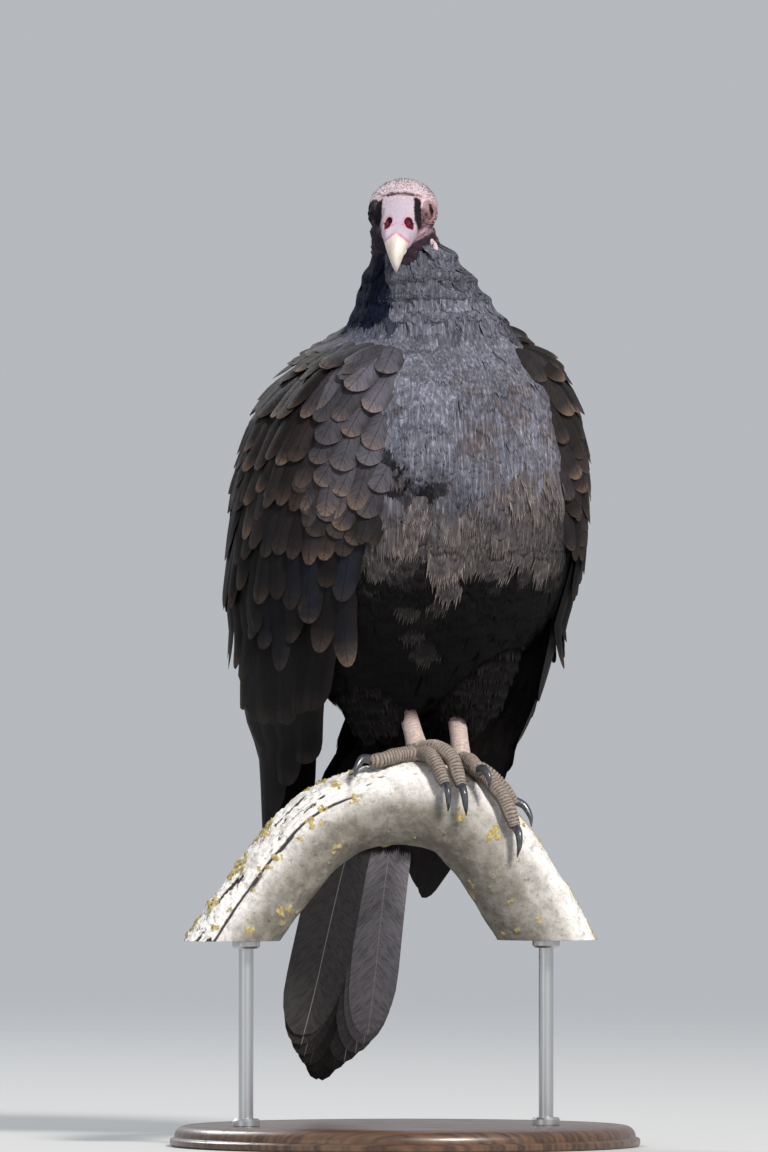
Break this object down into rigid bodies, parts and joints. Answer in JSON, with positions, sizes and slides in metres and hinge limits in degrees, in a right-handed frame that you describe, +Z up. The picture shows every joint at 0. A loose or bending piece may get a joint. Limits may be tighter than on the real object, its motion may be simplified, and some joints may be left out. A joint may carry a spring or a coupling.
{
  "type": "turkey vulture",
  "caption": "Life-size still model of a turkey vulture standing on an arched length of branch, held by a plain round base with steel rods.",
  "frame": {"origin": "centre of the round base's underside, under the middle of the whole model", "axes": "+Z up, the way the bird's head looks is -Y, +X is the bird's left"},
  "size_m": [0.32, 0.32, 0.6565],
  "materials": {
    "plumage": "brown-black contour feathers with tan worn edges, blue-grey sheen on the breast",
    "flight_feather": "brown-black vanes with dark shafts",
    "tail_feather": "grey undersides with pale shafts and dark tips",
    "bare_skin": "wrinkled pink and purple skin with dark stubble",
    "leg_skin": "scuted pale legs and grey-brown toes",
    "bill_horn": "ivory horn",
    "claw_horn": "slate-black horn",
    "eye": "dark brown wet eye",
    "bark": "weathered grey bark with cracks and yellow lichen",
    "stand_wood": "dark satin-varnished hardwood",
    "stand_steel": "plain brushed rod"
  },
  "bodies": {
    "root": {"stand_base": "stand_wood", "stand_rod_left": "stand_steel", "stand_rod_right": "stand_steel", "perch": "bark", "bill_upper": "bill_horn", "bill_lower": "bill_horn", "eye_left": "eye", "eye_right": "eye", "head": "bare_skin", "neck": "plumage", "trunk": "plumage", "tail": "tail_feather", "wing_right_coverts": "plumage", "wing_right_secondaries": "flight_feather", "wing_right_primaries": "flight_feather", "thigh_right": "plumage", "tarsus_right": "leg_skin", "toe_right_hallux": "leg_skin", "claw_right_hallux": "claw_horn", "toe_right_inner": "leg_skin", "claw_right_inner": "claw_horn", "toe_right_middle": "leg_skin", "claw_right_middle": "claw_horn", "toe_right_outer": "leg_skin", "claw_right_outer": "claw_horn", "wing_left_coverts": "plumage", "wing_left_secondaries": "flight_feather", "wing_left_primaries": "flight_feather", "thigh_left": "plumage", "tarsus_left": "leg_skin", "toe_left_hallux": "leg_skin", "claw_left_hallux": "claw_horn", "toe_left_inner": "leg_skin", "claw_left_inner": "claw_horn", "toe_left_middle": "leg_skin", "claw_left_middle": "claw_horn", "toe_left_outer": "leg_skin", "claw_left_outer": "claw_horn"}
  },
  "joints": []
}
